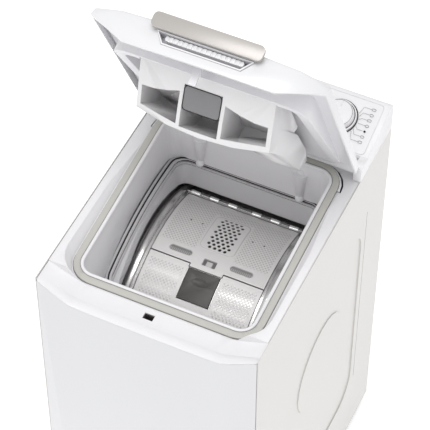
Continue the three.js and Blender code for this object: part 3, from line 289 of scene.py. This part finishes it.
def grid_piece(name, rows, columns, place, material, body):
    """A sheet of quads; place(row, column) gives a point and an amount of painted shade, or None for a hole."""
    mesh = bpy.data.meshes.new(name)
    points, shades, index = [], [], {}
    for r in range(rows + 1):
        for c in range(columns + 1):
            made = place(r / rows, c / columns)
            if made is not None:
                index[r, c] = len(points)
                points.append(made[0])
                shades.append(made[1])
    faces = []
    for r in range(rows):
        for c in range(columns):
            corners = [(r, c), (r, c + 1), (r + 1, c + 1), (r + 1, c)]
            if all(k in index for k in corners):
                faces.append([index[k] for k in corners])
    mesh.from_pydata(points, [], faces)
    mesh.shade_smooth()
    shade_values = mesh.attributes.new(SHADE_LAYER, "FLOAT", "POINT")
    shade_values.data.foreach_set("value", shades)
    piece = bpy.data.objects.new(name, mesh)
    bpy.context.scene.collection.objects.link(piece)
    piece.data.materials.append(material)
    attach(piece, body)
    return piece


def thicken(piece, depth, offset=-1):
    solid = piece.modifiers.new("thickness", "SOLIDIFY")
    solid.thickness, solid.offset, solid.use_even_offset = depth / 1000, offset, False


def paint_press_shade(material, shadow):
    """Darkens a finish with painted shade where a piece's own press attribute says that the surface is sunk."""
    tree = material.node_tree
    shader = tree.nodes["Principled BSDF"]
    link = shader.inputs["Base Color"].links[0]
    # the attribute holds painted shade, 0 to 1, for the sunk places
    depth = Flow(tree, make(tree, "ShaderNodeAttribute", {"attribute_name": SHADE_LAYER}).outputs["Fac"])
    mixed = make(tree, "ShaderNodeMix", {"data_type": "RGBA"}, {0: depth, 7: (*linear(shadow), 1)})
    tree.links.new(link.from_socket, mixed.inputs[6])
    tree.links.new(mixed.outputs[2], shader.inputs["Base Color"])


flap_steel = finish("flap_steel", (226, 224, 223), 0.46, 0.15, 340, 0.02, 0.05, LONG)
# painted shade, down to this dark grey, in the flaps' dimples, holes, slots and latch window
paint_press_shade(flap_steel, (28, 27, 27))

# %% [markdown]
# A pressed surface could be sculpted by hand or cut with hundreds of small tools. Here a few short
# functions say how deep the die went at any place seen from above, in mm: a smooth step makes every
# edge, a rounded rectangle makes plates and slots, and repeated rows make dimples and holes.

# %% press shapes
PITCH = 6.6
HOLE_MIDDLE, HOLE_ROWS, HOLE_STEP_X, HOLE_STEP_Y = 30.5, 5, 9.6, 7.0


def smooth(edge0, edge1, value):
    t = min(1.0, max(0.0, (value - edge0) / (edge1 - edge0)))
    return t * t * (3 - 2 * t)


def rounded(x, y, half_x, half_y, corner):
    """Distance outside a rounded rectangle, negative inside, in millimetres."""
    dx, dy = abs(x) - half_x + corner, abs(y) - half_y + corner
    return math.hypot(max(dx, 0), max(dy, 0)) + min(max(dx, dy), 0) - corner


def dimples(x, y, inside):
    """Depth, 0 to 1, of a field of small dimples in staggered rows."""
    row = round(y / (PITCH * 0.5))
    shift = 0.5 * PITCH * (row % 2)
    column = round((x - shift) / PITCH)
    gap = math.hypot(x - shift - column * PITCH, y - row * PITCH * 0.5)
    return inside * (1 - smooth(0.7, 2.0, gap))


def holes(x, y):
    """Depth, 0 to 1, of the lozenge of drain holes."""
    row = round((y - HOLE_MIDDLE) / HOLE_STEP_Y)
    if abs(row) > HOLE_ROWS:
        return 0
    count = 5 if row % 2 == 0 else 4
    column = min(count - 1, max(0, round(x / HOLE_STEP_X + (count - 1) / 2)))
    lean = x - (column - (count - 1) / 2) * HOLE_STEP_X
    return 1 - smooth(2.1, 3.1, math.hypot(lean, y - HOLE_MIDDLE - row * HOLE_STEP_Y))


def rivets(x, y, spots):
    near = min(math.hypot(abs(x) - px, y - py) for px, py in spots)
    return 1 - smooth(1.0, 1.9, near)


print("dimple pitch", PITCH, "mm")

# %% [markdown]
# Each flap has its own pattern. The rear one carries the plate, the holes, both slots and the latch
# window, and the front one only dimples and rivets. A second number says how dark a place is drawn:
# painted shade in the sunk parts, and dark rivets.

# %% flap patterns
def rear_press(x, y):
    """(lift in mm, painted shade) of the rear flap at a place seen from above."""
    plate = rounded(x, y - 29.5, 33, 41, 10)
    rim = 1 - smooth(0.0, 1.2, abs(plate + 0.6))
    field = smooth(35, 38, abs(x)) * (1 - smooth(99, 101, abs(x)))
    field *= smooth(-18, -15, y) * (1 - smooth(90, 93, y))
    band = smooth(73, 75, y) * (1 - smooth(90, 93, y)) * (1 - smooth(36, 38, abs(x)))
    dimple = dimples(x, y, max(field, band))
    hole = holes(x, y) if plate < -4 else 0
    slot = -rounded(abs(x) - 57.5, y + 29, 22, 6.2, 6.1)
    slot_in = smooth(0.0, 2.2, slot)
    window = smooth(0.0, 1.4, -rounded(x, y + 35.5, 12.5, 7, 2))
    tongue = smooth(0.0, 1.2, -rounded(x, y + 38.5, 6.5, 7, 1))
    dot = rivets(x, y, [(70, 38), (48, 38)])
    lift = 0.7 * (1 - smooth(-0.6, 0.6, plate)) - 0.5 * dimple - 3.5 * hole - 2.6 * slot_in - 4.0 * window
    lift += 3.0 * window * tongue - 0.6 * dot - 0.3 * rim
    # painted shade: the slots darker between their ribs, the dimples, holes, latch window and the groove round the
    # plate darkened, and the rivets drawn dark
    ridge = 1 - smooth(0.4, 1.5, abs(((x / 3.4) % 1.0) - 0.5) * 3.4)
    slot_shade = (0.62 - 0.3 * ridge * smooth(-3.0, 0.5, -(y + 29))) * smooth(0.4, 2.0, slot) + 0.1 * slot_in
    painted_shade = max(0.34 * dimple, hole * 1.4, slot_shade, 0.8 * window * (1 - 0.75 * tongue), 1.0 * dot, 0.3 * rim)
    return lift, painted_shade


def front_press(x, y):
    """(lift in mm, painted shade) of the front flap at a place seen from above."""
    field = smooth(36, 39, abs(x)) * (1 - smooth(99, 101, abs(x))) * (1 - smooth(-60, -57, y))
    dimple = dimples(x, y, field)
    dot = rivets(x, y, [(69, -97), (48, -97)])
    return -0.5 * dimple - 0.6 * dot, max(0.36 * dimple, 1.0 * dot)


def on_drum(y, x, lift):
    """A place seen from above, in mm, carried to the drum, lifted outward from its surface."""
    sine = (y / 1000 - AXIS.y) / RADIUS
    reach = RADIUS + lift / 1000
    return (x / 1000, AXIS.y + reach * sine, AXIS.z + reach * math.sqrt(1 - sine * sine))


def rear_place(v, u):
    y, x = -52.0 + v * 156.5, -106.8 + u * 213.6
    if y < -46.0 and abs(x) > 31:
        return None
    lift, painted_shade = rear_press(x, y)
    return on_drum(y, x, lift), painted_shade


def front_place(v, u):
    y, x = -125.5 + v * 78.2, -106.8 + u * 213.6
    if abs(x) < 31.4 and y > -107.5:
        return None
    lift, painted_shade = front_press(x, y)
    return on_drum(y, x, lift), painted_shade


rear_sheet = grid_piece("rear_flap_sheet", 210, 286, rear_place, flap_steel, "rear_flap")
front_sheet = grid_piece("front_flap_sheet", 106, 286, front_place, flap_steel, "front_flap")
for sheet in (rear_sheet, front_sheet):
    thicken(sheet, 1.2, -1)
print("flap faces", len(rear_sheet.data.polygons), len(front_sheet.data.polygons))

# %% [markdown]
# The rear flap turns on six rolled knuckles round a rod. A knuckle is a short ring, so a profile
# turned round an axis makes it, and the same helper serves later for other turned pieces.

# %% hinge knuckles
def lathe(name, profile, origin, axis, material, body, steps=48):
    """Turns (radius, along) points, in mm, round an axis through origin."""
    mesh = bpy.data.meshes.new(name)
    turn_to = Vector((0, 0, 1)).rotation_difference(Vector(axis)).to_matrix()
    points, faces = [], []
    for step in range(steps):
        angle = 2 * math.pi * step / steps
        for radius, along in profile:
            local = Vector((radius * math.cos(angle), radius * math.sin(angle), along)) / 1000
            points.append(Vector(origin) + turn_to @ local)
    count = len(profile)
    for step in range(steps):
        after = (step + 1) % steps
        for k in range(count):
            low, high = k, (k + 1) % count
            faces.append([step * count + low, after * count + low, after * count + high, step * count + high])
    mesh.from_pydata(points, [], faces)
    work = bmesh.new()
    work.from_mesh(mesh)
    bmesh.ops.remove_doubles(work, verts=work.verts, dist=1e-6)
    bmesh.ops.recalc_face_normals(work, faces=work.faces)
    work.to_mesh(mesh)
    work.free()
    mesh.shade_smooth()
    mesh.set_sharp_from_angle(angle=math.radians(35))
    piece = bpy.data.objects.new(name, mesh)
    bpy.context.scene.collection.objects.link(piece)
    piece.data.materials.append(material)
    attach(piece, body)
    return piece


knuckle_steel = finish("knuckle_steel", (232, 232, 231), 0.22, 0.9, 500, 0.01, 0.03, LONG)
rod_low, rod_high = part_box("rear_hinge_rod")
rod_place = Vector((0, (rod_low.y + rod_high.y) / 2, (rod_low.z + rod_high.z) / 2))
for number, x in enumerate((-95, -59, -23, 23, 59, 95)):
    ring = [(2.3, -8.8), (4.4, -8.8), (4.9, -8.2), (4.9, 8.2), (4.4, 8.8), (2.3, 8.8)]
    knuckle = lathe(f"rear_knuckle_{number + 1}", ring, rod_place + Vector((x / 1000, 0, 0)), (1, 0, 0),
                    knuckle_steel, "rear_flap", 24)
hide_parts("rear_flap")
print("rear hinge at", tuple(round(v, 4) for v in rod_place))

# %% [markdown]
# Thin rolled lips, gaps and printed lines run along smooth paths. A curve with a round section is
# the simplest true shape for all of them: it keeps its thickness wherever the path bends.

# %% lines helper
def wire(name, path, radius, material, body, closed=True):
    curve = bpy.data.curves.new(name, "CURVE")
    curve.dimensions, curve.bevel_depth, curve.bevel_resolution = "3D", radius / 1000, 3
    curve.use_fill_caps = True
    line = curve.splines.new("POLY")
    line.points.add(len(path) - 1)
    for point, place in zip(line.points, path):
        point.co = (*place, 1)
    line.use_cyclic_u = closed
    line.use_smooth = True
    piece = bpy.data.objects.new(name, curve)
    bpy.context.scene.collection.objects.link(piece)
    curve.materials.append(material)
    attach(piece, body)
    return piece


def round_plan(half, front, rear, corner, steps=10):
    """A rounded rectangle in plan, in mm, with short steps along its straight sides too."""
    centres = ((half - corner, rear - corner, 0), (corner - half, rear - corner, 90),
               (corner - half, front + corner, 180), (half - corner, front + corner, 270))
    corners = []
    for x, y, start in centres:
        for k in range(steps + 1):
            angle = math.radians(start + 90 * k / steps)
            corners.append((x + corner * math.cos(angle), y + corner * math.sin(angle)))
    path = []
    for (x0, y0), (x1, y1) in zip(corners, corners[1:] + corners[:1]):
        count = max(1, int(math.hypot(x1 - x0, y1 - y0) / 8))
        path += [(x0 + (x1 - x0) * k / count, y0 + (y1 - y0) * k / count) for k in range(count)]
    return path


def laid_on_round(plan, centre_y, centre_z, radius):
    return [(x / 1000, y / 1000, (centre_z + math.sqrt(radius ** 2 - (y - centre_y) ** 2)) / 1000) for x, y in plan]


# %% [markdown]
# The seal between cabinet and tub is a folded rubber ring. Its lips and the gaps between them
# follow one rounded plan, laid on the round passage that leads down to the drum, each a few
# millimetres deeper than the last. The gaps and the fold are black wires of painted shadow.

# %% lips of the well
shadow_gap = finish("shadow_gap", (34, 33, 34), 0.8, grain=500, depth=0.02, drift=0.1)
line_grey = finish("line_grey", (120, 118, 118), 0.7, grain=500, depth=0.02, drift=0.05)
lip_rubber = finish("lip_rubber", (206, 204, 206), 0.5, grain=500, depth=0.05, drift=0.03)
WELL_CENTRE = (50, 294)
# the gap and fold wires are painted shadow; the lips are rubber
LIPS = (("well_gap", (141.4, -159.5, 130.4, 26), 436.5, 1.5, shadow_gap, "black"),
        ("bellows_lip_upper", (138.2, -156.4, 132.6, 24), 432.5, 2.0, lip_rubber, "grey_rubber"),
        ("bellows_fold", (137.4, -155.6, 132.0, 23), 428.6, 0.8, shadow_gap, "black"),
        ("bellows_lip_lower", (136.6, -154.8, 131.4, 23), 424.4, 1.9, lip_rubber, "grey_rubber"),
        ("neck_gap", (135.2, -153.6, 130.6, 21), 420.4, 0.9, shadow_gap, "black"))
for name, plan, radius, thick, material, slot in LIPS:
    wire(name, laid_on_round(round_plan(*plan), *WELL_CENTRE, radius), thick, material, "cabinet")
print("lips", len(LIPS))

# %% [markdown]
# The flat seal under the lid lies on a tilted bed. A rounded white bead forms its inner edge, and two
# fine lines are the joints where rubber meets plastic.

# %% edges of the lid seal
seal_low, seal_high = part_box("lid_seal")
SEAL_HALF, SEAL_FRONT, SEAL_REAR = seal_high.x * 1000, seal_low.y * 1000, seal_high.y * 1000
tilt = (seal_high.z - seal_low.z - 0.0035) / (seal_high.y - seal_low.y)
bead = round_plan(SEAL_HALF - 15.2, SEAL_FRONT + 15.2, SEAL_REAR - 15.2, 26)
bead = [(x / 1000, y / 1000, seal_low.z + (y / 1000 - seal_low.y) * tilt + 0.0022) for x, y in bead]
wire("well_inner_bead", bead, 3.3, white_plastic, "cabinet")
for name, grow, lift, thick in (("seal_edge_outer", 0.4, 0.6, 0.5), ("seal_edge_inner", -11.6, 3.9, 0.3)):
    plan = round_plan(SEAL_HALF + grow, SEAL_FRONT - grow, SEAL_REAR + grow, 42 + grow)
    path = [(x / 1000, y / 1000, seal_low.z + (y / 1000 - seal_low.y) * tilt + lift / 1000) for x, y in plan]
    wire(name, path, thick, line_grey, "cabinet")
print("seal half width", round(SEAL_HALF, 1))

# %% [markdown]
# Behind the flap hinge the drum sheet carries a plain strip, brushed and duller than the flaps.

# %% hinge strip
strip_steel = finish("strip_steel", (196, 195, 195), 0.5, 0.1, 700, 0.03, 0.3, LONG)


def strip_place(v, u):
    y, x = 105.4 + v * 14.6, -109 + u * 218
    fold = 0.5 * (1 - smooth(0, 0.08, abs(v - 0.55)))
    return on_drum(y, x, 1.3 + fold), 0.0


strip = grid_piece("rear_hinge_strip", 24, 60, strip_place, strip_steel, "drum")
thicken(strip, 0.8, -1)

# %% [markdown]
# Two spray posts stand at the back of the well. Each is a taper with a ball end, so both are turned
# from one short profile.

# %% spray posts
ball = [(8.0 * math.sin(math.radians(a)), -6 - 8.0 * math.cos(math.radians(a))) for a in range(0, 151, 15)]
profile = ball + [(6.8, 6), (12.5, 58), (0, 58)]
for side, name in ((-1, "left"), (1, "right")):
    post = lathe(f"spray_post_{name}", profile, (side * 0.095, 0.127, 0.733), (0, 0, 1), white_plastic, "cabinet")

# %% [markdown]
# The control surface is printed. The marks are ink a few tenths of a millimetre thick: leader lines
# and plain programme signs without any lettering. The black ring on the panel round the knob is painted shadow of the
# gap around the knob.

# %% printed marks
knob_joint = next(j for j in frame["record"]["behaviour"]["joints"] if j["name"] == "knob_turn")
PANEL_UP = Vector(knob_joint["axis"]).normalized()
PANEL_ALONG = Vector((0, PANEL_UP.z, -PANEL_UP.y))
knob_middle = Vector(knob_joint["pos_m"])
INK_RISE = -0.0066


def on_panel(x, along, rise=0.0):
    """x across and along up the slope from the knob's middle, in mm."""
    across = Vector((x / 1000, 0, 0))
    return knob_middle + across + PANEL_ALONG * (along / 1000) + PANEL_UP * (INK_RISE + rise / 1000)


def panel_ring(x, along, radius_x, radius_y, rise=0.0, steps=40):
    turns = [2 * math.pi * k / steps for k in range(steps)]
    return [on_panel(x + radius_x * math.cos(a), along + radius_y * math.sin(a), rise) for a in turns]


# %% [markdown]
# Ink on a panel has no relief to speak of, but a thin wire still gives a crisp line that keeps its
# width from every side. The knob's rings ride on the knob and the rest stays on the cabinet.

# %% ink
ink = finish("ink", (92, 92, 94), 0.6, grain=400, depth=0.01, drift=0.05)
black_print_and_shade = finish("black_print_and_shade", (30, 30, 32), 0.5, grain=400, depth=0.01, drift=0.05)
# painted shadow: a black ring on the panel where the gap round the knob lies in shade
wire("knob_gap_ring", panel_ring(0, 0, 32.4, 32.4, 0, 72), 0.9, black_print_and_shade, "cabinet")
wire("knob_foot_line", panel_ring(0, 0, 28.2, 28.2, 5.3, 72), 0.55, black_print_and_shade, "knob")
wire("knob_top_line", panel_ring(0, 0, 24.6, 24.6, 15.8, 72), 0.35, ink, "knob")
SIGNS = 7
SIGN_X, SIGN_STEP = 52, 10.6
for number in range(SIGNS):
    along = 31 - SIGN_STEP * number
    reach = math.atan2(along * 0.62, 34)
    start = (35 * math.cos(reach), 35 * math.sin(reach))
    leader = [on_panel(*start), on_panel(start[0] + 4, along), on_panel(48, along)]
    wire(f"leader_{number + 1}", leader, 0.22, ink, "cabinet", False)
    if number == 4:
        wire("sign_dot", panel_ring(SIGN_X, along, 1.0, 1.0), 1.0, black_print_and_shade, "cabinet")
    elif number % 2:
        wire(f"sign_{number + 1}", panel_ring(SIGN_X, along, 3.2, 2.2), 0.3, ink, "cabinet")
    else:
        outline = ((-3, -1.8), (3, -1.8), (3.4, 1.8), (0, 2.6), (-3.4, 1.8))
        square = [on_panel(SIGN_X + dx, along + dy) for dx, dy in outline]
        wire(f"sign_{number + 1}", square, 0.3, ink, "cabinet")
for number in range(4):
    button_low, button_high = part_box(f"push_button_{number + 1}")
    x = (button_low.x + button_high.x) * 500 - knob_middle.x * 1000
    wire(f"button_sign_{number + 1}", panel_ring(x, -2, 2.6, 2.6), 0.3, ink, "cabinet")
print("signs", SIGNS)

# %% [markdown]
# The tray under the lid has three deep pockets that open through windows in its slanting front. The
# packed tray gives its body, and taller windows are cut from a copy of it. The lid is drawn open, so
# a helper turns places measured on the shut lid into places on the open one.

# %% tray helpers
lid_joint = next(j for j in frame["record"]["behaviour"]["joints"] if j["name"] == "lid_hinge")
HINGE = Vector(lid_joint["pos_m"])
LID_TURN = Matrix.Rotation(-math.radians(65.2), 3, "X")


def on_lid(x, y, z):
    """A place on the shut lid in mm, from the hinge line, carried to the open lid."""
    return HINGE + LID_TURN @ Vector((x / 1000, y / 1000, z / 1000))


def carved(name, node, cuts, material, body):
    """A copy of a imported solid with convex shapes, given by their corners on the lid, cut away."""
    mesh = nodes[node].data.copy()
    mesh.name = name
    mesh.materials.clear()
    mesh.materials.append(material)
    piece = bpy.data.objects.new(name, mesh)
    bpy.context.scene.collection.objects.link(piece)
    work = bmesh.new()
    work.from_mesh(mesh)
    bmesh.ops.remove_doubles(work, verts=work.verts, dist=1e-6)
    work.to_mesh(mesh)
    work.free()
    tools = []
    for number, corners in enumerate(cuts):
        shape = bmesh.new()
        for corner in corners:
            shape.verts.new(on_lid(*corner))
        bmesh.ops.convex_hull(shape, input=shape.verts)
        tool_mesh = bpy.data.meshes.new(f"{name}_tool_{number}")
        shape.to_mesh(tool_mesh)
        shape.free()
        tool = bpy.data.objects.new(tool_mesh.name, tool_mesh)
        bpy.context.scene.collection.objects.link(tool)
        away = piece.modifiers.new("away", "BOOLEAN")
        away.operation, away.object, away.solver = "DIFFERENCE", tool, "EXACT"
        tools.append(tool)
    bpy.context.view_layer.update()
    shaped = bpy.data.meshes.new_from_object(piece.evaluated_get(bpy.context.evaluated_depsgraph_get()))
    piece.modifiers.clear()
    piece.data = shaped
    for tool in tools:
        bpy.data.objects.remove(tool)
    shaped.shade_smooth()
    shaped.set_sharp_from_angle(angle=math.radians(30))
    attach(piece, body)
    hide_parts(node)
    return piece


print("hinge", tuple(round(v, 3) for v in HINGE))

# %% [markdown]
# A boolean cut suits a moulding like this, because the cutters are plain wedges whose corners say
# where each window starts. A small bevel then rolls the sharp edges that the cut leaves.

# %% windows
# each window: left, right, front edge at the left and right, roof height
WINDOWS = {"left": (-109, -42, -323, -338, -50), "middle": (-36, 30, -348, -348, -44),
           "right": (36, 109, -338, -323, -50)}
cuts = []
for x0, x1, y0, y1, roof in WINDOWS.values():
    cuts.append([(x, y, z) for x, y in ((x0, y0), (x1, y1), (x0, -300), (x1, -300)) for z in (roof, roof - 44)])
tray = carved("dispenser_body", "dispenser_tray", cuts, tray_plastic, "dispenser")
rolled = tray.modifiers.new("rolled_edge", "BEVEL")
rolled.width, rolled.segments, rolled.limit_method = 0.0011, 2, "ANGLE"
rolled.angle_limit = math.radians(40)
print("tray faces", len(tray.data.polygons))

# %% [markdown]
# The cap over the middle pocket is a small grey plate with round corners and a faint ring pressed in
# it. It lies in the slanting front of the tray, so its outline is drawn on that slope.

# %% softener cap
cap_grey = finish("cap_grey", (128, 127, 129), 0.4, grain=900, depth=0.04, drift=0.06)
SLOPE_TOP, SLOPE_FALL = (-371, -36), 0.976


def on_slope(x, y, rise=0.0):
    """A place on the slanting front of the tray; rise is outward, in mm."""
    outward = math.hypot(SLOPE_FALL, 1)
    z = SLOPE_TOP[1] - (y - SLOPE_TOP[0]) * SLOPE_FALL
    return on_lid(x, y - rise * SLOPE_FALL / outward, z - rise / outward)


CAP_HALF, CAP_TALL, CAP_X, CAP_Y = 32, 15.5, -3, -332
cap_path = []
for sx, sy, start in ((1, 1, 0), (-1, 1, 90), (-1, -1, 180), (1, -1, 270)):
    for k in range(7):
        angle = math.radians(start + 15 * k)
        cap_path.append((CAP_X + sx * (CAP_HALF - 5) + 5 * math.cos(angle),
                         CAP_Y + sy * (CAP_TALL - 5) + 5 * math.sin(angle)))
print("cap outline", len(cap_path))

# %% [markdown]
# The plate is filled by shrinking its outline towards the middle in a few rings, each a little
# higher, which domes it slightly as moulded caps are.

# %% cap plate
rings = (1.0, 0.95, 0.7, 0.35)
points, faces, count = [], [], len(cap_path)
for ring in rings:
    dome = -0.6 if ring == 1.0 else 0.5 * (1 - ring ** 2)
    points += [on_slope(CAP_X + (x - CAP_X) * ring, CAP_Y + (y - CAP_Y) * ring, dome - 0.4) for x, y in cap_path]
points.append(on_slope(CAP_X, CAP_Y, 0.1))
for r in range(len(rings) - 1):
    for k in range(count):
        after = (k + 1) % count
        faces.append([r * count + k, r * count + after, (r + 1) * count + after, (r + 1) * count + k])
last = (len(rings) - 1) * count
faces += [[last + k, last + (k + 1) % count, len(points) - 1] for k in range(count)]
cap_mesh = bpy.data.meshes.new("softener_cap_face")
cap_mesh.from_pydata([tuple(p) for p in points], [], faces)
cap_mesh.shade_smooth()
cap_mesh.materials.append(cap_grey)
cap_plate = bpy.data.objects.new("softener_cap_face", cap_mesh)
bpy.context.scene.collection.objects.link(cap_plate)
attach(cap_plate, "softener_cap")
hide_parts("softener_cap")
thicken(cap_plate, 1.4, 0)
# The dark rim round the cap and the dark arc of its pressed ring are painted shadow of the gap and the groove.
wire("softener_cap_rim", [on_slope(x, y, 0.1) for x, y in cap_path], 0.75, shadow_gap, "softener_cap")
mark = [on_slope(CAP_X + 6 + 11 * math.cos(math.radians(a)), CAP_Y + 11 * math.sin(math.radians(a)), 0.1)
        for a in range(40, 321, 10)]
wire("softener_cap_mark", mark, 0.4, shadow_gap, "softener_cap", False)
print("cap faces", len(faces))
